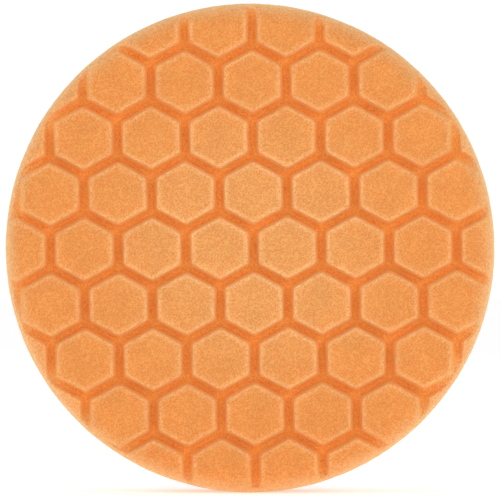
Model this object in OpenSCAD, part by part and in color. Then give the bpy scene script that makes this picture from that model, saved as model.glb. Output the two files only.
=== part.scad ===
// Foam polishing pad with a hexagon-cut face and a recessed loop back.
// The pad is a glued stack. From the machine side to the paint side it is a
// knitted loop fabric (pile on a ground), a hot-melt bond film and one open-cell
// foam disc. The origin is the centre of the loop face, +Y points out of that face
// towards the backing plate, and the hexagon face looks along -Y.

/* [Foam disc] */
// Widest diameter of the foam
foam_d = 165; // [160:1:200]
// Depth of the whole pad, from the back lip to the hexagon face
pad_depth = 32; // [26:0.5:40]
// Radius of the rounded shoulder between the face and the side
shoulder_r = 8.5; // [5:0.5:12]
// How much the diameter shrinks from the shoulder to the back lip
side_taper = 2.6; // [0:0.2:6]
// Radius of the outer edge of the back lip
lip_edge_r = 2; // [1:0.5:3]

/* [Hexagon face] */
// Distance between the centres of two hexagons in one row
hex_pitch = 22.75; // [16:0.25:30]
// Distance between two rows of hexagons
row_pitch = 18.65; // [13:0.05:26]
// Width of the grooves between the hexagons
groove_w = 3.2; // [2:0.1:5]
// Depth of the grooves
groove_depth = 4; // [2:0.5:6]
// Turn of the hexagon pattern about the pad's axis, in degrees
pattern_turn = 0.5; // [-30:0.5:30]
// Distance from the pad's axis to the nearest hexagon's centre, along the rows
pattern_shift = -10.2; // [-12:0.1:12]

/* [Loop back] */
// Diameter of the loop fabric
fabric_d = 150; // [136:1:150]
// Diameter of the recess that centres the backing plate
recess_d = 152; // [151:0.5:154]
// How far the back lip stands behind the loop face
recess_depth = 4; // [2:0.5:6]
// Middle diameter of the ring pressed into the pile, which centres a smaller plate
ring_d = 125; // [90:1:130]
// Width of the pressed ring
ring_w = 2; // [1:0.5:4]
// Height of the pile above the ground
pile_h = 1.2; // [0.8:0.1:2]
// Thickness of the fabric's knitted ground
ground_t = 0.6; // [0.4:0.1:1]
// Thickness of the bond film
film_t = 0.3; // [0.2:0.1:0.6]

/* [Hidden] */

$fn = 96;
foam_r = foam_d / 2;
fabric_r = fabric_d / 2;
recess_r = recess_d / 2;
// Heights along the pad's axis, from the loop face towards the hexagon face
lip_z = -recess_depth;
face_z = pad_depth - recess_depth;
shoulder_z = face_z - shoulder_r;
film_z = pile_h + ground_t;
seat_z = film_z + film_t;
back_r = foam_r - side_taper / 2;
// The fabric sits in a seat pressed a little wider than the fabric itself
seat_clearance = 0.2;
// The knitted ground reaches past the pile by the width of its melted edge
melted_edge = 0.6;
film_inset = 1;
// Cutters run this far past the foam
past = 1;
// Slope of the hexagons' inclined sides
side_slope = (row_pitch / 3) / (hex_pitch / 2);
rows_out = ceil(foam_r / row_pitch);
hexes_out = ceil(foam_r / hex_pitch) + 1;

// Turns a part drawn along +Z so that its hexagon side looks along -Y.
module in_frame() {
    rotate([90, 0, 0]) children();
}

module disc(r, z0, z1) {
    translate([0, 0, z0]) cylinder(r = r, h = z1 - z0);
}

// Half section of the foam: flat face, round shoulder, tapered side, round lip edge.
module foam_section() {
    difference() {
        union() {
            translate([0, lip_z]) square([back_r - lip_edge_r, pad_depth]);
            translate([0, shoulder_z]) square([foam_r - shoulder_r, shoulder_r]);
            translate([foam_r - shoulder_r, shoulder_z]) intersection() {
                circle(r = shoulder_r);
                square(shoulder_r);
            }
            polygon([
                [0, lip_z + lip_edge_r],
                [back_r, lip_z + lip_edge_r],
                [foam_r, shoulder_z],
                [0, shoulder_z]
            ]);
            translate([back_r - lip_edge_r, lip_z + lip_edge_r]) circle(r = lip_edge_r);
        }
        translate([-foam_r, lip_z - past]) square([foam_r, pad_depth + 2 * past]);
    }
}

// One hexagon of the face: its cell in the pattern, less half a groove on every side.
module land() {
    half_w = (hex_pitch - groove_w) / 2;
    inset = groove_w / 2 * sqrt(1 + side_slope * side_slope);
    top = 2 * row_pitch / 3 - inset;
    corner = top - half_w * side_slope;
    polygon([
        [0, top], [half_w, corner], [half_w, -corner],
        [0, -top], [-half_w, -corner], [-half_w, corner]
    ]);
}

// Every hexagon that reaches the face, in rows shifted by half a pitch in turn.
module lands() {
    rotate(pattern_turn) translate([pattern_shift, 0])
        for (row = [-rows_out : rows_out], i = [-hexes_out : hexes_out]) {
            odd = abs(row) % 2;
            translate([(i + odd / 2) * hex_pitch, row * row_pitch]) land();
        }
}

module grooves() {
    translate([0, 0, face_z - groove_depth])
        linear_extrude(groove_depth + past) difference() {
            circle(r = foam_r + past);
            lands();
        }
}

module foam_body() {
    color("sandybrown") in_frame() difference() {
        rotate_extrude() foam_section();
        grooves();
        disc(recess_r, lip_z - past, 0);
        disc(fabric_r + seat_clearance, -past, seat_z);
    }
}

module bond_film() {
    color("wheat") in_frame() disc(fabric_r - film_inset, film_z, seat_z);
}

module loop_ground() {
    color("gainsboro") in_frame() disc(fabric_r, pile_h, film_z);
}

// The pile stands on the ground everywhere but on the pressed ring and the edge.
module loop_pile() {
    color("whitesmoke") in_frame() difference() {
        disc(fabric_r - melted_edge, 0, pile_h);
        difference() {
            disc((ring_d + ring_w) / 2, -past, pile_h + past);
            disc((ring_d - ring_w) / 2, -2 * past, pile_h + 2 * past);
        }
    }
}

foam_body();
bond_film();
loop_ground();
loop_pile();
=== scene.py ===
# %% [markdown]
# # A foam polishing pad
#
# A polishing pad is a disc of open-cell foam with a loop fabric glued to its back. The face
# that meets the paint is cut into hexagons, so that polish gathers in the grooves and the
# foam can flex. This lesson builds the pad around a CAD model that already holds its sizes.
# We never move a CAD part. We work out finer surfaces with numpy, give each one a finish,
# and hide the CAD node that it stands for.

# %% Load the frame
import math

import bpy
import numpy as np
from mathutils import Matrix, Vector


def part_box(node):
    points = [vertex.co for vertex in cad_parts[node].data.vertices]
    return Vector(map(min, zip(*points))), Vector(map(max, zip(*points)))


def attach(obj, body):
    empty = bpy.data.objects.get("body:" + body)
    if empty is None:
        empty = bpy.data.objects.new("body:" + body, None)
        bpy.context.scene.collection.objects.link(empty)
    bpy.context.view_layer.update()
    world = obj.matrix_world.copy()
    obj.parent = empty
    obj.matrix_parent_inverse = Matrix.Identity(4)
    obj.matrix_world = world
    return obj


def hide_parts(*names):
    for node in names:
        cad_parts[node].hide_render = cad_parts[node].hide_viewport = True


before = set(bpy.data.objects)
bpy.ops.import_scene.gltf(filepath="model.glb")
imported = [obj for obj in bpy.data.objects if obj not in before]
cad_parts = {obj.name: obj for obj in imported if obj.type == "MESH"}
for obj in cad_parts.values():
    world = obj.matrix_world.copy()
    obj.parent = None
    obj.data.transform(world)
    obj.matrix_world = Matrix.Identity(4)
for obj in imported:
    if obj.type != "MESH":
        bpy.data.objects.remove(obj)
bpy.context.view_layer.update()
foam_low, foam_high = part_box("foam_body")
pile_low, pile_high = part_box("loop_pile")
ground_low, ground_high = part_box("loop_ground")
film_low, film_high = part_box("bond_film")

# %% [markdown]
# ## Sizes
#
# The pad stands upright like a wheel. Its axis runs along Y, the hexagon face looks along -Y,
# and the loop face lies at Y = 0. Blender works in metres, so one name, `MM`, turns the
# millimetres of a workshop drawing into metres. The widest sizes come from the frame. The
# pattern's sizes repeat the design's own values.

# %% The driving sizes
MM = 0.001
PAD_R = foam_high[0]
FACE_Y = foam_low[1]
LIP_Y = foam_high[1]
LOOP_FACE_Y = pile_high[1]
SEAT_Y = film_low[1]
FABRIC_R = ground_high[0]

SHOULDER_R = 8.5 * MM
BACK_R = PAD_R - 1.3 * MM
LIP_EDGE_R = 2.0 * MM
RECESS_R = 76.0 * MM
SEAT_R = FABRIC_R + 0.2 * MM

HEX_PITCH = 22.75 * MM
ROW_PITCH = 18.65 * MM
GROOVE_W = 3.2 * MM
GROOVE_DEPTH = 4.0 * MM
PATTERN_TURN = math.radians(0.5)
PATTERN_SHIFT = -10.2 * MM
print(f"pad {2000 * PAD_R:.1f} mm across, {1000 * (LIP_Y - FACE_Y):.1f} mm deep")

# %% [markdown]
# ## From arrays to a mesh
#
# Every surface below ends as two arrays: the points, and the corners of each face. One helper
# hands both to Blender in bulk with `foreach_set`, which is many times faster than adding
# vertices one by one. Numbers that a material needs later, such as how deep in a groove a
# point lies, go in as named attributes of the points.

# %% A helper that makes a piece
def new_piece(name, points, faces, finish, smooth=True, **values):
    """A mesh object from an (n, 3) array of points and a list of (m, k) arrays of face corners.
    Each extra keyword is one number per point, kept as an attribute of that name."""
    mesh = bpy.data.meshes.new(name)
    corners = np.concatenate([f.ravel() for f in faces]).astype(np.int32)
    sizes = np.concatenate([np.full(len(f), f.shape[1]) for f in faces])
    starts = np.concatenate([[0], np.cumsum(sizes)[:-1]]).astype(np.int32)
    mesh.vertices.add(len(points))
    mesh.vertices.foreach_set("co", points.astype(np.float32).ravel())
    mesh.loops.add(len(corners))
    mesh.loops.foreach_set("vertex_index", corners)
    mesh.polygons.add(len(sizes))
    mesh.polygons.foreach_set("loop_start", starts)
    mesh.polygons.foreach_set("use_smooth", np.full(len(sizes), smooth))
    mesh.update(calc_edges=True)
    for key, numbers in values.items():
        layer = mesh.attributes.new(key, "FLOAT", "POINT")
        layer.data.foreach_set("value", np.asarray(numbers, np.float32))
    mesh.materials.append(finish)
    piece = bpy.data.objects.new(name, mesh)
    bpy.context.scene.collection.objects.link(piece)
    print(f"{name}: {len(points)} points, {int((sizes - 2).sum())} triangles")
    return piece


def smoothstep(low, high, x):
    """0 below low, 1 above high, and the cubic 3t^2 - 2t^3 of the share t in between."""
    t = np.clip((x - low) / (high - low), 0.0, 1.0)
    return t * t * (3.0 - 2.0 * t)


# %% [markdown]
# ## Irregularity
#
# Cut foam is never quite flat or quite straight. A good measure of disorder is value noise:
# give every corner of a cubic lattice a random number, and blend the eight corners around a
# point. Hashing the corner's own whole-number address gives the same number on every run, so
# nothing needs a random generator and the result never changes.

# %% Value noise on whole arrays
def corner_value(ix, iy, iz, seed):
    """A number from -1 to 1 for each lattice corner: its address times large primes, mixed by
    shifts."""
    h = ix * 374761393 + iy * 668265263 + iz * 2147483647 + seed * 1274126177
    h = (h ^ (h >> 13)) * 1103515245 & 0x7FFFFFFF
    h = (h ^ (h >> 16)) * 668265263 & 0x7FFFFFFF
    return (h ^ (h >> 15)) / 0x3FFFFFFF - 1.0


def noise(points, cell, seed):
    """Value noise of wavelength about 2 cells: corner numbers blended by smooth shares of x, y
    and z."""
    scaled = points / cell
    base = np.floor(scaled).astype(np.int64)
    t = scaled - base
    t = t * t * (3.0 - 2.0 * t)
    total = np.zeros(len(points))
    for corner in range(8):
        step = np.array([corner & 1, corner >> 1 & 1, corner >> 2 & 1])
        share = np.prod(np.where(step, t, 1.0 - t), axis=1)
        total += share * corner_value(*(base + step).T, seed)
    return total


probe = noise(np.linspace(0, 1, 3000).reshape(-1, 3), 0.01, 1)
print(f"noise runs from {probe.min():.2f} to {probe.max():.2f}")

# %% [markdown]
# ## The hexagon pattern
#
# The grooves follow a honeycomb. We could cut them with a boolean, but that leaves long thin
# triangles and razor edges, where foam has soft ones. Here the face is a net of small
# triangles whose lines run along the hexagons' sides, so that every edge of a groove follows
# a line of the net. A point's address in that net, two whole numbers, already says how far out
# it lies in its own hexagon, on a scale from 0 at the centre to 1 at the middle of the groove.

# %% The net of triangles and each point's hexagon
SIDE_STEPS = 30
NET_X = HEX_PITCH / (2 * SIDE_STEPS)
NET_Y = ROW_PITCH / (3 * SIDE_STEPS)
HEX_SIDE = 2 * ROW_PITCH / 3
APOTHEM = (HEX_PITCH / 2 + HEX_SIDE * math.cos(math.atan2(ROW_PITCH / 3, HEX_PITCH / 2))) / 2


def net_place(i, j):
    """Where net point (i, j) lies: j half-pitch steps across, and 2i + j third-row steps up."""
    return np.stack([j * NET_X, (2 * i + j) * NET_Y], axis=-1)


def own_hexagon(i, j):
    """Steps from the nearest hexagon's centre. Centres lie at a(-k, 2k) + b(k, k); of the four
    around a point, the nearest has the smallest of max(|di|, |dj|, |di + dj|)."""
    k = SIDE_STEPS
    a0 = np.floor((j - i) / (3 * k))
    b0 = np.floor((2 * i + j) / (3 * k))
    best = np.full(i.shape, np.inf)
    di, dj = np.zeros(i.shape), np.zeros(i.shape)
    for a, b in ((a0, b0), (a0 + 1, b0), (a0, b0 + 1), (a0 + 1, b0 + 1)):
        ti, tj = i - k * (b - a), j - k * (2 * a + b)
        reach = np.maximum(np.maximum(abs(ti), abs(tj)), abs(ti + tj))
        nearer = reach < best
        best = np.where(nearer, reach, best)
        di, dj = np.where(nearer, ti, di), np.where(nearer, tj, dj)
    return di, dj


def turn_and_shift(flat):
    """Slides the pattern along its rows, then turns it about the pad's axis."""
    c, s = math.cos(PATTERN_TURN), math.sin(PATTERN_TURN)
    x, y = flat[..., 0] + PATTERN_SHIFT, flat[..., 1]
    return np.stack([c * x - s * y, s * x + c * y], axis=-1)


print(f"net lines are {1000 * NET_X:.2f} mm apart, a hexagon's side is {1000 * HEX_SIDE:.1f} mm")

# %% [markdown]
# ## The groove's profile
#
# Seen in section, the foam has a nearly flat floor, a steep wall and a soft rim. The share of
# the full depth at a distance from the groove's middle line is exp(-(distance / half width)^p).
# A high power p makes the floor flat and the wall steep, and still leaves both corners round.
# A slower exponential adds the way that foam sags towards a free edge.
#
# Evenly spaced net lines would put a single row of triangles on the wall. So the lines of each
# hexagon are drawn in or out until they lie evenly along the profile's own length, with a few
# extra lines at the rim, where the light shows the curve.

# %% Depth, rim and the spread of the net lines
WALL_POWER = 5.0
RIM_SAG = 0.32 * MM
RIM_REACH = 0.95 * MM
CROWN = 0.18 * MM
CORNER_R = 1.8 * MM


def groove_share(distance):
    """How much of the groove's depth is reached at that distance from its middle line."""
    return np.exp(-((distance / (GROOVE_W / 2)) ** WALL_POWER))


def rim_drop(distance):
    """How far the land sinks towards its edge: an exponential sag, and a crown that falls with
    the fourth power of the share of the way out."""
    past_wall = np.maximum(distance - GROOVE_W / 2, 0.0)
    sag = RIM_SAG * np.exp(-past_wall / RIM_REACH)
    return sag + CROWN * np.clip(1.0 - distance / APOTHEM, 0.0, 1.0) ** 4


def line_spread():
    """Where each net line of a hexagon goes, as a share of the way out: equal steps along the
    profile's length, weighted by 1 plus a bell around the rim."""
    share = np.linspace(0.0, 1.0, 4001)
    distance = (1.0 - share) * APOTHEM
    depth = GROOVE_DEPTH * groove_share(distance) + rim_drop(distance)
    weight = 1.0 + 1.4 * np.exp(-(((distance - 1.15 * GROOVE_W / 2) / (0.5 * MM)) ** 2))
    length = np.hypot(np.gradient(distance), np.gradient(depth)) * weight
    travelled = np.concatenate([[0.0], np.cumsum(length[1:])])
    return np.interp(np.linspace(0.0, travelled[-1], SIDE_STEPS + 1), travelled, share)


LINE_AT = line_spread()
print(f"land lines {1000 * APOTHEM * LINE_AT[1]:.2f} mm apart, "
      f"{int((groove_share((1 - LINE_AT) * APOTHEM) > 0.02).sum())} lines in the groove")

# %% [markdown]
# ## The face
#
# The round shoulder drops away from the face as r - sqrt(r^2 - x^2). The grooves are cut
# straight down to one flat depth, so on the shoulder they grow shallow, and they die out just
# before the pad's outline. The height of any point is then the land's height, less the
# groove's share of what is left between the land and the floor.
#
# Towards the outline the net has to lie evenly, because lines drawn together there would fold
# over each other on the steep shoulder. So their spread fades out over a band at the edge.

# %% Build the face
GROOVES_END_R = PAD_R - SHOULDER_R + math.sqrt(SHOULDER_R**2 - (SHOULDER_R - GROOVE_DEPTH) ** 2)
NET_EDGE_R = GROOVES_END_R + 0.25 * MM
EVEN_FROM_R = NET_EDGE_R - 11.0 * MM
EVEN_BY_R = NET_EDGE_R - 0.6 * MM
SWAY_CELL = 2.4 * MM
SWAY = 0.07 * MM
RIM_CENTRE = 0.75 * MM
RIM_WIDTH = 0.85 * MM
RIM_OUTSIDE = 0.6
MIDDLE_FROM_R = 0.2 * PAD_R
MIDDLE_TO_R = 0.75 * PAD_R


def shoulder_drop(radius):
    """How far the round shoulder lies below the face at that radius."""
    x = np.clip(radius - (PAD_R - SHOULDER_R), 0.0, SHOULDER_R)
    return SHOULDER_R - np.sqrt(SHOULDER_R**2 - x * x)


def corner_inset(di, dj, distance):
    """How far a hexagon's rounded corner draws in the net: r - sqrt(r^2 - (a - u)^2), where u is
    the way along the side from the corner and a is where the rounding starts."""
    three = np.sort(np.stack([abs(di), abs(dj), abs(di + dj)]), axis=0)
    along = (1.0 - three[1] / np.maximum(three[2], 1.0)) * HEX_SIDE
    start = CORNER_R * math.tan(math.radians(30))
    inset = CORNER_R - np.sqrt(CORNER_R**2 - np.clip(start - along, 0.0, start) ** 2)
    near_wall = np.exp(-(((distance - GROOVE_W / 2) / (1.0 * MM)) ** 2))
    return inset * near_wall


def build_face():
    """The face's points, the numbers that its finish needs, and its triangles."""
    j_most = math.ceil(NET_EDGE_R / NET_X) + 2 * SIDE_STEPS
    i_most = math.ceil((NET_EDGE_R / NET_Y + j_most) / 2)
    i_all, j_all = np.arange(-i_most, i_most + 1), np.arange(-j_most, j_most + 1)
    i, j = np.meshgrid(i_all, j_all, indexing="ij")
    even = turn_and_shift(net_place(i, j))
    kept = np.hypot(even[..., 0], even[..., 1]) <= NET_EDGE_R
    low, right, up, far = kept[:-1, :-1], kept[:-1, 1:], kept[1:, :-1], kept[1:, 1:]
    number = np.arange(kept.size).reshape(kept.shape)
    n_low, n_right = number[:-1, :-1], number[:-1, 1:]
    n_up, n_far = number[1:, :-1], number[1:, 1:]
    first = np.stack([n_low, n_right, n_up], -1)[low & right & up]
    second = np.stack([n_right, n_far, n_up], -1)[right & far & up]
    triangles = np.concatenate([first, second])
    used = np.unique(triangles)
    renumber = np.zeros(kept.size, np.int64)
    renumber[used] = np.arange(len(used))
    triangles = renumber[triangles]
    i, j = i.ravel()[used].astype(float), j.ravel()[used].astype(float)

    di, dj = own_hexagon(i, j)
    out = np.maximum(np.maximum(abs(di), abs(dj)), abs(di + dj)) / SIDE_STEPS
    even_r = np.hypot(*turn_and_shift(net_place(i, j)).T)
    near_edge = smoothstep(EVEN_FROM_R, EVEN_BY_R, even_r)
    drawn = np.interp(out, np.linspace(0, 1, SIDE_STEPS + 1), LINE_AT)
    drawn = drawn + (out - drawn) * near_edge
    distance = (1.0 - drawn) * APOTHEM
    scale = drawn / np.maximum(out, 1e-9)
    scale = scale * (1.0 - (1.0 - near_edge) * corner_inset(di, dj, distance) / APOTHEM)
    centre = net_place(i - di, j - dj)
    flat = turn_and_shift(centre + net_place(di, dj) * scale[:, None])

    wander = np.stack([flat[:, 0], flat[:, 1], np.zeros(len(flat))], -1)
    sway = np.stack([noise(wander, SWAY_CELL, seed) for seed in (11, 12)], -1)
    flat = flat + SWAY * sway * (1.0 - near_edge)[:, None]

    radius = np.hypot(flat[:, 0], flat[:, 1])
    land = shoulder_drop(radius)
    left = np.maximum(GROOVE_DEPTH - land, 0.0)
    share = groove_share(distance)
    fade = left / GROOVE_DEPTH
    drop = land + share * left + rim_drop(distance) * (1.0 - share) * fade
    points = np.stack([flat[:, 0], FACE_Y + drop, flat[:, 1]], -1)
    # Masks for painted light: middle lightens the face towards its centre, rim paints a sheen along
    # each land's edge, weaker out towards the outline.
    middle = 1.0 - smoothstep(MIDDLE_FROM_R, MIDDLE_TO_R, radius)
    bell = np.exp(-(((distance - GROOVE_W / 2 - RIM_CENTRE) / RIM_WIDTH) ** 2))
    rim = bell * (1.0 - share) * fade * (RIM_OUTSIDE + (1.0 - RIM_OUTSIDE) * middle)
    return points, triangles, {"groove": share * fade, "rim": rim, "middle": middle}


face_points, face_triangles, face_values = build_face()
print(f"face: {len(face_points)} points, "
      f"lowest groove {1000 * (face_points[:, 1].max() - FACE_Y):.2f} mm")

# %% [markdown]
# ## The side and the back
#
# From the face's last points on, the pad is a turned shape. Its section is a path of a few
# corners, each with a radius. We carry that path around the axis, one column for each point on
# the edge of the face's net, so that the two parts share their points and the skin is closed.

# %% A path with rounded corners
def rounded_path(corners, radii, spacing):
    """Evenly spaced points on a path whose corners are arcs. Each arc is drawn as a fine Bezier
    curve from one tangent point to the other, at radius * tan(half the turn) from the corner."""
    corners = np.asarray(corners, float)
    dense = [corners[:1]]
    for before, here, after, radius in zip(corners, corners[1:], corners[2:], radii):
        into = (here - before) / np.linalg.norm(here - before)
        away = (after - here) / np.linalg.norm(after - here)
        turn = math.acos(float(np.clip(into @ away, -1.0, 1.0)))
        reach = radius * math.tan(turn / 2)
        pull = 4 / 3 * math.tan(turn / 4) * radius
        a, d = here - into * reach, here + away * reach
        b, c = a + into * pull, d - away * pull
        t = np.linspace(0.0, 1.0, 33)[:, None]
        dense.append(
            (1 - t) ** 3 * a + 3 * t * (1 - t) ** 2 * b + 3 * t * t * (1 - t) * c + t**3 * d
        )
    dense.append(corners[-1:])
    dense = np.concatenate(dense)
    step = np.hypot(*np.diff(dense, axis=0).T)
    dense = dense[np.concatenate([[True], step > 1e-9])]
    travelled = np.concatenate([[0.0], np.cumsum(np.hypot(*np.diff(dense, axis=0).T))])
    even = np.linspace(0.0, travelled[-1], max(2, round(travelled[-1] / spacing) + 1))
    return np.stack([np.interp(even, travelled, dense[:, n]) for n in (0, 1)], -1)


# The section as (radius, Y): round shoulder, tapered side, back lip, recess wall, ledge, seat.
SHOULDER_Y = FACE_Y + SHOULDER_R
start_angle = math.asin((NET_EDGE_R + 0.3 * MM - PAD_R + SHOULDER_R) / SHOULDER_R)
angles = np.linspace(start_angle, math.pi / 2, 9)
shoulder_path = np.stack([
    PAD_R - SHOULDER_R + SHOULDER_R * np.sin(angles),
    SHOULDER_Y - SHOULDER_R * np.cos(angles),
], -1)
side_path = rounded_path(
    [
        shoulder_path[-1],
        (BACK_R, LIP_Y),
        (RECESS_R, LIP_Y),
        (RECESS_R, LOOP_FACE_Y),
        (SEAT_R, LOOP_FACE_Y),
        (SEAT_R, SEAT_Y),
        (SEAT_R - 4 * MM, SEAT_Y),
    ],
    [LIP_EDGE_R, 0.7 * MM, 0.25 * MM, 0.15 * MM, 0.15 * MM],
    0.55 * MM,
)
section = np.concatenate([shoulder_path, side_path[1:], [[20 * MM, SEAT_Y]]])
print(f"section: {len(section)} points from the shoulder to the seat")

# %% Carry the section around the edge of the face
def open_edge(triangles):
    """The points on the net's open edge: those of the sides that belong to one triangle only."""
    sides = np.concatenate([triangles[:, ends] for ends in ([0, 1], [1, 2], [2, 0])])
    pairs, count = np.unique(np.sort(sides, 1), axis=0, return_counts=True)
    return np.unique(pairs[count == 1]), int((count == 1).sum())


edge, open_sides = open_edge(face_triangles)
bearing = np.arctan2(face_points[edge, 2], face_points[edge, 0])
order = np.argsort(bearing)
edge, bearing = edge[order], bearing[order]
assert len(edge) == open_sides, "the face's edge must be one plain ring"

columns, rings = len(edge), len(section)
turned = np.empty((rings, columns, 3))
turned[..., 0] = section[:, :1] * np.cos(bearing)
turned[..., 1] = section[:, 1:]
turned[..., 2] = section[:, :1] * np.sin(bearing)
first_row = len(face_points)
grid = np.concatenate([edge[None], first_row + np.arange(rings * columns).reshape(rings, columns)])
nearer, farther = grid[:-1], grid[1:]
side_quads = np.stack([
    nearer, farther, np.roll(farther, -1, axis=1), np.roll(nearer, -1, axis=1),
], -1).reshape(-1, 4)
seat_middle = first_row + rings * columns
seat_fan = np.stack([grid[-1], np.full(columns, seat_middle), np.roll(grid[-1], -1)], -1)
body_points = np.concatenate([face_points, turned.reshape(-1, 3), [[0.0, SEAT_Y, 0.0]]])
print(f"side and back: {columns} columns, {rings} rings")

# %% [markdown]
# ## Nodes without the clutter
#
# Each finish is a small graph of shader nodes. One helper adds a node and fills its inputs by
# name: a number or a colour is set, and another node's output is linked. Patterns read Object
# coordinates, which are metres on the pad itself, so a scale of 1 / (0.6 mm) gives cells of
# 0.6 mm on every side of the piece, with no stretching and no seams.

# %% Helpers for finishes
def add(tree, kind, settings=None, **inputs):
    """Adds a node. Underscores in an input's keyword stand for spaces."""
    made = tree.nodes.new("ShaderNode" + kind)
    for key, value in (settings or {}).items():
        setattr(made, key, value)
    for key, value in inputs.items():
        socket = made.inputs[key.replace("_", " ")]
        if isinstance(value, bpy.types.NodeSocket):
            tree.links.new(value, socket)
        else:
            socket.default_value = value
    return made


def blend(tree, share, first, second, how="MIX"):
    """A colour between two others, or their product, by a share that may vary over the surface."""
    made = add(tree, "Mix", {"data_type": "RGBA", "blend_type": how})
    for index, value in ((0, share), (6, first), (7, second)):
        if isinstance(value, bpy.types.NodeSocket):
            tree.links.new(value, made.inputs[index])
        else:
            made.inputs[index].default_value = value
    return made.outputs[2]


def ramp(tree, value, low, high, to_low=0.0, to_high=1.0):
    """Carries the span from low to high onto the span from to_low to to_high."""
    made = add(tree, "MapRange", Value=value)
    for key, number in (("From Min", low), ("From Max", high), ("To Min", to_low), ("To Max", to_high)):
        made.inputs[key].default_value = number
    return made.outputs[0]


def grey(tree, value):
    """The same number as red, green and blue, for multiplying a colour."""
    return add(tree, "CombineColor", Red=value, Green=value, Blue=value).outputs[0]


def grey_of(tree, colour):
    """A colour's brightness as one number."""
    return add(tree, "RGBToBW", Color=colour).outputs[0]


def set_values(shader, **values):
    """Sets a shader's own values, the same all over. Underscores stand for spaces."""
    for key, value in values.items():
        shader.inputs[key.replace("_", " ")].default_value = value


def start_finish(name):
    """A new material's node tree, its Principled shader and its Object coordinates."""
    finish = bpy.data.materials.new(name)
    finish.use_nodes = True
    tree = finish.node_tree
    place = add(tree, "TexCoord").outputs["Object"]
    return finish, tree, tree.nodes["Principled BSDF"], place


print("finish helpers ready")

# %% [markdown]
# ## Foam
#
# Open-cell foam is a mesh of thin struts around pores about half a millimetre wide. Up close
# each pore is a dark dimple in a bright net, and from further off the pores make a fine grain.
# A Voronoi pattern gives that: its distance to the nearest seed is small inside a pore and
# large on the struts. The same pattern drives colour and bump, so that the dark spots are also
# the low ones.
#
# Inside a groove, light bounces from foam to foam and deepens the orange; along a rim, loose
# struts stand against the light as a pale sheen. Both are painted into the colour here: painted
# bounce light in the grooves and a painted sheen on the rims. The face is painted a little paler
# too around its middle, as painted light, and on the round shoulder, as a painted sheen and
# reflection. Four attributes say how strongly each of these colours is mixed in at a point. As
# they are painted, they stay from every side. Light also soaks a little way into foam, which the
# subsurface value gives, and a sheen stands for the fuzz of cut struts that brightens every
# grazing edge.

# %% The foam's finish
LAND_ORANGE = (0.81, 0.302, 0.064, 1)
# Painted light: a paler orange towards the middle of the face.
MIDDLE_LIGHT_ORANGE = (0.81, 0.348, 0.092, 1)
# Painted bounce light: a deeper, more saturated orange for the grooves, as light bouncing from wall to
# wall gives.
GROOVE_BOUNCE_LIGHT_ORANGE = (0.91, 0.322, 0.052, 1)
# Painted sheen: a paler orange along each land's rim.
RIM_SHEEN_ORANGE = (0.87, 0.440, 0.156, 1)
# Painted sheen and reflection: a paler orange on the round shoulder.
SHOULDER_SHEEN_ORANGE = (0.87, 0.500, 0.215, 1)
PORE_TINT = (0.86, 0.56, 0.25, 1)
STRUT_TINT = (1.05, 1.31, 1.70, 1)
PORE = 0.62 * MM
PIT = 1.25 * MM


def foam_finish():
    """Orange open-cell foam: colour by four attributes that paint in light and sheen, pores as colour
    and bump.
    """
    finish, tree, shader, place = start_finish("orange_foam")
    groove, rim, middle, shoulder = (
        add(tree, "Attribute", {"attribute_name": name}).outputs["Fac"]
        for name in ("groove", "rim", "middle", "shoulder")
    )
    warp = add(tree, "TexNoise", Vector=place, Scale=1 / (2.2 * PORE), Detail=1.0)
    bent = blend(tree, 0.0004, place, warp.outputs["Color"])
    pores = add(tree, "TexVoronoi", Vector=bent, Scale=1 / PORE)
    pits = add(tree, "TexVoronoi", Vector=bent, Scale=1 / PIT)
    grain = add(tree, "TexNoise", Vector=place, Scale=1 / (0.5 * MM), Detail=2.0)
    patch = add(tree, "TexNoise", Vector=place, Scale=1 / (9.0 * MM), Detail=3.0)

    # Painted light in the base colour: a lighter middle, bounce light in the grooves, sheen on the rims
    # and the shoulder.
    colour = blend(tree, middle, LAND_ORANGE, MIDDLE_LIGHT_ORANGE)
    colour = blend(tree, ramp(tree, groove, 0.05, 0.7), colour, GROOVE_BOUNCE_LIGHT_ORANGE)
    colour = blend(tree, rim, colour, RIM_SHEEN_ORANGE)
    colour = blend(tree, shoulder, colour, SHOULDER_SHEEN_ORANGE)
    in_pit = ramp(tree, pits.outputs["Distance"], 0.18, 0.42, 0.0, 1.0)
    seldom = ramp(tree, grey_of(tree, pits.outputs["Color"]), 0.30, 0.36, 0.0, 1.0)
    closed = add(tree, "Math", {"operation": "MAXIMUM"})
    tree.links.new(in_pit, closed.inputs[0])
    tree.links.new(seldom, closed.inputs[1])
    struts = ramp(tree, pores.outputs["Distance"], 0.12, 0.72)
    speckle = ramp(tree, grain.outputs["Fac"], 0.30, 0.70)
    net = blend(tree, 0.45, grey(tree, struts), grey(tree, speckle))
    pit_shade = grey(tree, ramp(tree, closed.outputs[0], 0.0, 1.0, 0.45, 1.0))
    net = blend(tree, 1.0, net, pit_shade, "MULTIPLY")
    tint = blend(tree, net, PORE_TINT, STRUT_TINT)
    drift = ramp(tree, patch.outputs["Fac"], 0.3, 0.7, 0.96, 1.04)
    colour = blend(tree, 1.0, colour, tint, "MULTIPLY")
    colour = blend(tree, 1.0, colour, grey(tree, drift), "MULTIPLY")
    tree.links.new(colour, shader.inputs["Base Color"])

    bump = add(tree, "Bump", Strength=0.6, Distance=0.2 * MM, Height=grey_of(tree, net))
    tree.links.new(bump.outputs[0], shader.inputs["Normal"])
    set_values(
        shader, Roughness=0.75, Specular_IOR_Level=0.3, Subsurface_Weight=0.6,
        Subsurface_Radius=(1.0, 0.5, 0.2), Subsurface_Scale=1.6 * MM,
        Sheen_Weight=0.7, Sheen_Roughness=0.5, Sheen_Tint=(1.0, 0.62, 0.28, 1),
    )
    return finish


orange_foam = foam_finish()
print("finish:", orange_foam.name)

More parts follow.
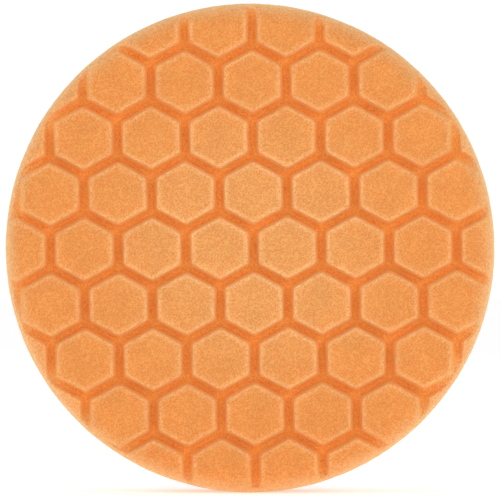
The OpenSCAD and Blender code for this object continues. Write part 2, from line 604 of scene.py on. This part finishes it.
# %% [markdown]
# ## One skin for the whole foam body
#
# The face, the side, the lip, the recess and the seat now share one closed mesh. Last, each
# point moves a few hundredths of a millimetre along its own normal. Three sizes of noise do it:
# a coarse one for the way that cut foam relaxes, a middle one for its unevenness, and one at the
# size of the pores, which breaks up the outline and the edges as real struts do.

# %% The foam body
SIDE_FROM_Y = SHOULDER_Y - 1.0 * MM
SIDE_TO_Y = SHOULDER_Y + 9.0 * MM
SIDE_LOSS = 0.75
GROOVE_LOSS = 0.6


def read_vectors(mesh, key):
    """The points' places or normals as an (n, 3) array."""
    numbers = np.empty(3 * len(mesh.vertices))
    mesh.vertices.foreach_get(key, numbers)
    return numbers.reshape(-1, 3)


def move_points(mesh, points):
    """Puts every point of the mesh at its new place."""
    mesh.vertices.foreach_set("co", points.ravel())
    mesh.update()


def relax(piece, amounts, mask):
    """Moves each point along its normal by the sum of noise(cell) * height, times a mask."""
    points, normals = read_vectors(piece.data, "co"), read_vectors(piece.data, "normal")
    shift = sum(noise(points, cell, seed) * height for cell, height, seed in amounts)
    move_points(piece.data, points + normals * (shift * mask)[:, None])


elsewhere = np.zeros(len(body_points) - len(face_points))
foam_values = {key: np.concatenate([numbers, elsewhere]) for key, numbers in face_values.items()}
at_y, at_r = body_points[:, 1], np.hypot(body_points[:, 0], body_points[:, 2])
# The shoulder's mask paints a sheen and reflection into its colour: strongest out on the shoulder,
# fading down the side and inside the grooves.
around = np.clip((at_r - PAD_R + SHOULDER_R) / SHOULDER_R, 0.0, 1.0) ** 3
down_side = smoothstep(SIDE_FROM_Y, SIDE_TO_Y, at_y)
kept_sheen = (1.0 - SIDE_LOSS * down_side) * (1.0 - GROOVE_LOSS * foam_values["groove"])
foam_values["shoulder"] = around * kept_sheen
foam = new_piece(
    "foam_skin", body_points, [face_triangles, side_quads, seat_fan], orange_foam, **foam_values
)
in_seat = (at_y > SEAT_Y - 0.1 * MM) & (at_r < RECESS_R - 0.3 * MM)
foam_noise = [(7 * MM, 0.07 * MM, 21), (1.5 * MM, 0.05 * MM, 22), (0.45 * MM, 0.05 * MM, 23)]
relax(foam, foam_noise, ~in_seat)
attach(foam, "root")
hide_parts("foam_body")

# %% [markdown]
# ## A turned piece with an uneven skin
#
# The layers behind the foam are thin rounds. Each is a closed section carried around the axis,
# like the pad's own side, but on an even set of bearings. A round that closes on the axis keeps
# a small hole's worth of points at its middle, which one fan of triangles fills.

# %% Carry a section around the axis
def turned_piece(name, path, columns, finish, closes=True, **values):
    """A round made from (radius, Y) points. With closes, the two ends meet the axis in fans;
    without, the section is a ring and its last point joins its first. The section runs from
    the side that looks along -Y, out around the edge, and back on the side that looks along +Y."""
    path = np.asarray(path, float)
    angle = np.arange(columns) * (2 * math.pi / columns)
    rows = len(path)
    points = np.empty((rows, columns, 3))
    points[..., 0] = path[:, :1] * np.cos(angle)
    points[..., 1] = path[:, 1:]
    points[..., 2] = path[:, :1] * np.sin(angle)
    row = np.arange(rows * columns).reshape(rows, columns)
    here, there = (row[:-1], row[1:]) if closes else (row, np.roll(row, -1, axis=0))
    quads = np.stack([
        here, there, np.roll(there, -1, axis=1), np.roll(here, -1, axis=1),
    ], -1).reshape(-1, 4)
    points, faces = points.reshape(-1, 3), [quads]
    if closes:
        front, back = len(points), len(points) + 1
        middles = [[0.0, path[0, 1], 0.0], [0.0, path[-1, 1], 0.0]]
        points = np.concatenate([points, middles])
        after = np.roll(row, -1, axis=1)
        faces.append(np.stack([np.full(columns, front), row[0], after[0]], -1))
        faces.append(np.stack([row[-1], np.full(columns, back), after[-1]], -1))
    return new_piece(name, points, faces, finish, **values)


def keep_on_root(piece, node):
    """The piece rides on the pad and stands for that CAD node, which is hidden."""
    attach(piece, "root")
    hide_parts(node)


# %% [markdown]
# ## The bond film
#
# A sheet of hot-melt glue holds the fabric in its seat. Almost all of it is hidden. What shows
# is the bead that squeezes out around the fabric's edge, glossy and a little yellow, and never
# the same width for long. It is a thin ring whose section swells and shrinks with noise.

# %% Hot-melt film and its bead
def film_finish():
    """Set hot-melt glue: pale, slightly clear and glossy, with cloudy streaks."""
    finish, tree, shader, place = start_finish("hot_melt")
    cloud = add(tree, "TexNoise", Vector=place, Scale=1 / (3.0 * MM), Detail=3.0)
    share = ramp(tree, cloud.outputs["Fac"], 0.35, 0.65)
    colour = blend(tree, share, (0.72, 0.60, 0.40, 1), (0.86, 0.80, 0.66, 1))
    tree.links.new(colour, shader.inputs["Base Color"])
    tree.links.new(ramp(tree, share, 0.0, 1.0, 0.22, 0.4), shader.inputs["Roughness"])
    set_values(shader, Subsurface_Weight=0.3, Subsurface_Scale=0.5 * MM)
    return finish


hot_melt = film_finish()
film_path = rounded_path(
    [(40 * MM, film_low[1]), (film_high[0], film_low[1]), (film_high[0], film_high[1]),
     (40 * MM, film_high[1])],
    [0.1 * MM, 0.1 * MM], 4.0 * MM,
)
film = turned_piece("glue_film", film_path, 256, hot_melt)
keep_on_root(film, "bond_film")

BEAD_R = 0.17 * MM
bead_angle = np.linspace(0, 2 * math.pi, 9)[:-1]
bead_path = np.stack([
    FABRIC_R + 0.03 * MM - BEAD_R * np.sin(bead_angle),
    ground_high[1] + 0.12 * MM - BEAD_R * np.cos(bead_angle),
], -1)
bead = turned_piece("glue_bead", bead_path[::-1], 1800, hot_melt, closes=False)
relax(bead, [(1.6 * MM, 0.09 * MM, 31), (0.6 * MM, 0.04 * MM, 32)], 1.0)
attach(bead, "root")

# %% [markdown]
# ## The knitted ground
#
# The loops are knitted into a thin flat fabric. It shows in two places. Around the edge, the
# heat that cut the disc has melted the yarns into a hard rounded rim. And a ring pressed into
# the pile, which centres a smaller backing plate, bares the ground and prints short bars in it.

# %% Knitted ground with its melted rim and pressed ring
RING_R = 62.5 * MM
RING_HALF = 1.0 * MM
RING_BARS = 240
BAR_HEIGHT = 0.16 * MM
PILE_R = pile_high[0]


def ground_finish():
    """Knitted nylon: rows of small stitches as colour and bump, glazed where heat touched it."""
    finish, tree, shader, place = start_finish("knit_ground")
    glazed = add(tree, "Attribute", {"attribute_name": "glazed"}).outputs["Fac"]
    stitch = add(tree, "TexVoronoi", Vector=place, Scale=1 / (0.5 * MM))
    tone = ramp(tree, stitch.outputs["Distance"], 0.0, 0.7, 0.78, 1.05)
    colour = blend(tree, glazed, (0.66, 0.66, 0.64, 1), (0.50, 0.50, 0.47, 1))
    colour = blend(tree, 1.0, colour, grey(tree, tone), "MULTIPLY")
    tree.links.new(colour, shader.inputs["Base Color"])
    tree.links.new(ramp(tree, glazed, 0.0, 1.0, 0.85, 0.38), shader.inputs["Roughness"])
    bump = add(tree, "Bump", Strength=0.4, Distance=0.08 * MM, Height=stitch.outputs["Distance"])
    tree.links.new(bump.outputs[0], shader.inputs["Normal"])
    return finish


def spaced(start, stop, step):
    """Even steps from start to stop, both kept, no longer than step."""
    return np.linspace(start, stop, max(2, math.ceil(abs(stop - start) / step) + 1))


ground_top, ground_back = ground_high[1], ground_low[1]
fine_band = spaced(RING_R - 1.6 * MM, RING_R + 1.6 * MM, 0.2 * MM)
rim_path = rounded_path(
    [(fine_band[-1], ground_back), (FABRIC_R - 0.15 * MM, ground_back),
     (FABRIC_R - 0.15 * MM, ground_top + 0.12 * MM), (PILE_R - 0.1 * MM, ground_top),
     (fine_band[-1], ground_top)],
    [0.25 * MM, 0.28 * MM, 0.1 * MM], 0.3 * MM,
)
rim_path = rim_path[rim_path[:, 0] > PILE_R - 1.5 * MM]
ground_path = np.concatenate([
    [[30 * MM, ground_back]], rim_path,
    np.stack([fine_band[::-1], np.full(len(fine_band), ground_top)], -1), [[30 * MM, ground_top]],
])
ground_columns = 6 * RING_BARS
row_r = np.repeat(ground_path[:, 0], ground_columns)
row_top = np.repeat(ground_path[:, 1] > ground_back + 0.3 * MM, ground_columns)
bar_turn = np.arange(ground_columns) * (2 * math.pi * RING_BARS / ground_columns)
bar_angle = np.tile(bar_turn, len(ground_path))
in_ring = np.exp(-(((row_r - RING_R) / (0.75 * RING_HALF)) ** 4)) * row_top
on_rim = smoothstep(PILE_R - 0.1 * MM, PILE_R + 0.2 * MM, row_r)
glazed = np.concatenate([np.maximum(in_ring, on_rim), [0.0, 0.0]])
ground = turned_piece("knit_ground", ground_path, ground_columns, ground_finish(), glazed=glazed)
bars = np.concatenate([in_ring * (0.5 + 0.5 * np.cos(bar_angle)), [0.0, 0.0]])
relax(ground, [(1.4 * MM, 0.03 * MM, 41)], glazed)
coords = read_vectors(ground.data, "co")
coords[:, 1] += BAR_HEIGHT * bars
move_points(ground.data, coords)
keep_on_root(ground, "loop_ground")

# %% [markdown]
# ## The loop pile
#
# Hooks need loops to hold. The pile is thousands of fine nylon arches, knitted in columns and
# brushed so that they lean. Fur particles would be quick to place, but loops are closed curves
# with a shape of their own, so each is an arch of thin tube with a few dozen faces, and numpy
# places them all at once. A soft mat fills the space between their feet, where in the real
# fabric more yarn lies than any model could hold. Its darker grey is painted shade: the shade
# deep in the pile, between the loops.

# %% The mat between the loops
MAT_Y = LOOP_FACE_Y - 0.62 * MM


def nylon_finish(name, light, dark, cell):
    """Off-white nylon: a fine mottle of light and shadow, and a soft sheen."""
    finish, tree, shader, place = start_finish(name)
    fibres = add(tree, "TexNoise", Vector=place, Scale=1 / cell, Detail=3.0, Roughness=0.6)
    nap = add(tree, "TexNoise", Vector=place, Scale=1 / (14 * MM), Detail=2.0)
    colour = blend(tree, ramp(tree, fibres.outputs["Fac"], 0.3, 0.7), dark, light)
    shade = ramp(tree, nap.outputs["Fac"], 0.3, 0.7, 0.93, 1.04)
    colour = blend(tree, 1.0, colour, grey(tree, shade), "MULTIPLY")
    tree.links.new(colour, shader.inputs["Base Color"])
    bump = add(tree, "Bump", Strength=0.5, Distance=0.1 * MM, Height=fibres.outputs["Fac"])
    tree.links.new(bump.outputs[0], shader.inputs["Normal"])
    set_values(shader, Roughness=0.7, Sheen_Weight=0.35, Sheen_Roughness=0.4)
    return finish


# The mat's dark greys are painted shade deep in the pile; it stands for yarn like the loops, in a
# shaded copy of the same nylon.
nap_mat = nylon_finish("nap_mat", (0.54, 0.54, 0.52, 1), (0.24, 0.24, 0.23, 1), 0.35 * MM)
inner_path = np.concatenate([
    [[20 * MM, ground_top - 0.05 * MM]],
    rounded_path([(RING_R - RING_HALF, ground_top - 0.05 * MM), (RING_R - RING_HALF, MAT_Y),
                  (55 * MM, MAT_Y)], [0.3 * MM], 0.3 * MM)[:8],
    np.stack([spaced(59 * MM, 3 * MM, 1.2 * MM), np.full(48, MAT_Y)], -1),
])
mat_inner = turned_piece("nap_mat_inner", inner_path, 480, nap_mat)
outer_corners = [
    (RING_R + RING_HALF, ground_top - 0.05 * MM), (PILE_R, ground_top - 0.05 * MM),
    (PILE_R, MAT_Y), (RING_R + RING_HALF, MAT_Y), (RING_R + RING_HALF, ground_top + 0.1 * MM),
]
outer_path = rounded_path(outer_corners, [0.02 * MM, 0.35 * MM, 0.3 * MM], 0.55 * MM)
mat_outer = turned_piece("nap_mat_outer", outer_path, 720, nap_mat, closes=False)
for mat in (mat_inner, mat_outer):
    relax(mat, [(1.1 * MM, 0.10 * MM, 51), (6 * MM, 0.05 * MM, 52)], 1.0)
    keep_on_root(mat, "loop_pile")

# %% Thousands of yarn loops
WALE, COURSE = 1.25 * MM, 1.05 * MM
YARN_R = 0.085 * MM
LOOP_STEPS = 4
RING_CLEAR = 0.35 * MM
EDGE_CLEAR = 0.4 * MM


def loop_places(inner, outer):
    """Feet of loops in columns: a staggered grid, each place shaken by its own hashed numbers,
    kept between two radii. Returns the places and the grid addresses."""
    across, along = math.ceil(outer / WALE) + 1, math.ceil(outer / COURSE) + 1
    columns, rows = np.arange(-across, across + 1), np.arange(-along, along + 1)
    ix, iz = (address.ravel() for address in np.meshgrid(columns, rows, indexing="ij"))
    x = (ix + 0.22 * corner_value(ix, iz, 0, 61)) * WALE
    z = (iz + 0.5 * (ix % 2) + 0.22 * corner_value(ix, iz, 0, 62)) * COURSE
    kept = (np.hypot(x, z) > inner) & (np.hypot(x, z) < outer)
    return x[kept], z[kept], ix[kept], iz[kept]


def yarn_loops(name, x, z, ix, iz, finish):
    """Arches of three-sided tube. In its own plane a loop's middle line is (w cos t, h sin t)
    for t from 0 to half a turn, and it leans along the nap by lean * sin(t) squared."""
    count = len(x)
    spin = 0.9 * corner_value(ix, iz, 0, 63) + math.pi / 2
    height = (0.88 + 0.12 * corner_value(ix, iz, 0, 64)) * (LOOP_FACE_Y - ground_top)
    width = (0.42 + 0.08 * corner_value(ix, iz, 0, 65)) * MM
    lean = (0.30 + 0.30 * corner_value(ix, iz, 0, 66)) * MM
    t = np.linspace(0.0, math.pi, LOOP_STEPS + 1)[None, :, None]
    turn = (np.arange(3) * (2 * math.pi / 3))[None, None, :]
    reach = YARN_R * np.cos(turn)
    along = width[:, None, None] * np.cos(t) + reach * np.cos(t)
    up = height[:, None, None] * np.sin(t) + reach * np.sin(t)
    beside = YARN_R * np.sin(turn) + np.zeros_like(along)
    c, s = np.cos(spin)[:, None, None], np.sin(spin)[:, None, None]
    droop = lean[:, None, None] * np.sin(t) ** 2
    points = np.stack([
        x[:, None, None] + along * c - beside * s,
        ground_top + 0.02 * MM + up,
        z[:, None, None] + along * s + beside * c - droop,
    ], -1)
    per_loop = 3 * (LOOP_STEPS + 1)
    base = (np.arange(count) * per_loop)[:, None, None]
    ring = (3 * np.arange(LOOP_STEPS))[None, :, None]
    side, beyond = np.arange(3)[None, None, :], (np.arange(3) + 1)[None, None, :] % 3
    walls = np.stack([
        base + ring + side, base + ring + 3 + side, base + ring + 3 + beyond, base + ring + beyond,
    ], -1).reshape(-1, 4)
    start = base[:, 0] + np.array([[0, 1, 2]])
    end = base[:, 0] + 3 * LOOP_STEPS + np.array([[2, 1, 0]])
    piece = new_piece(name, points.reshape(-1, 3), [walls, start, end], finish)
    keep_on_root(piece, "loop_pile")


yarn = nylon_finish("nylon_yarn", (0.90, 0.90, 0.88, 1), (0.70, 0.70, 0.68, 1), 0.8 * MM)
x, z, ix, iz = loop_places(0.0, RING_R - RING_HALF - RING_CLEAR)
left = x < 0
yarn_loops("loops_centre_left", x[left], z[left], ix[left], iz[left], yarn)
yarn_loops("loops_centre_right", x[~left], z[~left], ix[~left], iz[~left], yarn)
x, z, ix, iz = loop_places(RING_R + RING_HALF + RING_CLEAR, PILE_R - EDGE_CLEAR)
yarn_loops("loops_outer", x, z, ix, iz, yarn)

# %% [markdown]
# ## The stage
#
# A plain pale floor and a soft, even light show the pad's colour without hard shadows. The world
# lights it from all round, and the floor glows a little from below. Four soft boxes add to that,
# one in front, one on either side and one behind. The camera sees the world brighter than the
# pad does, so that the surround stays white.

# %% Floor, light and camera
WORLD_LIGHT = 0.66
WORLD_SEEN = 1.05
FLOOR_GREY = 0.86
FLOOR_GLOW = 0.41
FLOOR_HALF = 6.0
CAMERA_DISTANCE = 1.6
PAD_SHARE = 0.9774


def plain_floor():
    """A wide pale light table under the pad's lowest point: it glows a little, so that the pad
    stands in light from below and its shadow stays faint."""
    finish, _, shader, _ = start_finish("pale_floor")
    set_values(
        shader, Base_Color=(FLOOR_GREY, FLOOR_GREY, FLOOR_GREY, 1), Roughness=0.9,
        Emission_Color=(1.0, 1.0, 1.0, 1), Emission_Strength=FLOOR_GLOW,
    )
    h, z = FLOOR_HALF, foam_low[2] - 0.05 * MM
    corners = np.array([[-h, -h, z], [h, -h, z], [h, h, z], [-h, h, z]])
    floor = new_piece("floor", corners, [np.array([[0, 1, 2, 3]])], finish, smooth=False)


def soft_box(name, place, size, power):
    """A square area light that faces the middle of the pad."""
    light = bpy.data.lights.new(name, "AREA")
    light.shape, light.size, light.energy = "SQUARE", size, power
    box = bpy.data.objects.new(name, light)
    bpy.context.scene.collection.objects.link(box)
    box.location = place
    box.rotation_euler = (-Vector(place)).to_track_quat("-Z", "Y").to_euler()


def camera_in_front(distance, share):
    """A long lens straight in front, so that the pad's width fills a share of the picture's."""
    data = bpy.data.cameras.new("camera")
    data.sensor_width = 36.0
    width_seen = 2 * PAD_R / share
    data.lens = data.sensor_width * distance / width_seen
    data.clip_end = 50.0
    camera = bpy.data.objects.new("camera", data)
    bpy.context.scene.collection.objects.link(camera)
    camera.location = (0.0, SHOULDER_Y - distance, 0.0)
    camera.rotation_euler = (math.radians(90), 0.0, 0.0)
    bpy.context.scene.camera = camera


def studio_world(light, backdrop):
    """An even white surround: one strength for what it lends to the pad, and a brighter one for
    what the camera sees behind it."""
    world = bpy.data.worlds.new("studio")
    world.use_nodes = True
    nodes, links = world.node_tree.nodes, world.node_tree.links
    path = nodes.new("ShaderNodeLightPath")
    span = nodes.new("ShaderNodeMapRange")
    links.new(path.outputs["Is Camera Ray"], span.inputs["Value"])
    span.inputs["To Min"].default_value = light
    span.inputs["To Max"].default_value = backdrop
    links.new(span.outputs[0], nodes["Background"].inputs["Strength"])
    nodes["Background"].inputs["Color"].default_value = (1.0, 1.0, 1.0, 1)
    bpy.context.scene.world = world


studio_world(WORLD_LIGHT, WORLD_SEEN)
bpy.context.scene.view_settings.view_transform = "Standard"
plain_floor()
soft_box("box_front", (0.15, -1.8, 0.25), 1.0, 4.8)
soft_box("box_left", (-0.95, -0.25, 0.6), 0.5, 2.0)
soft_box("box_right", (0.9, -0.7, 0.45), 0.5, 2.2)
soft_box("box_back", (0.5, 1.8, 0.5), 1.0, 3.0)
camera_in_front(CAMERA_DISTANCE, PAD_SHARE)
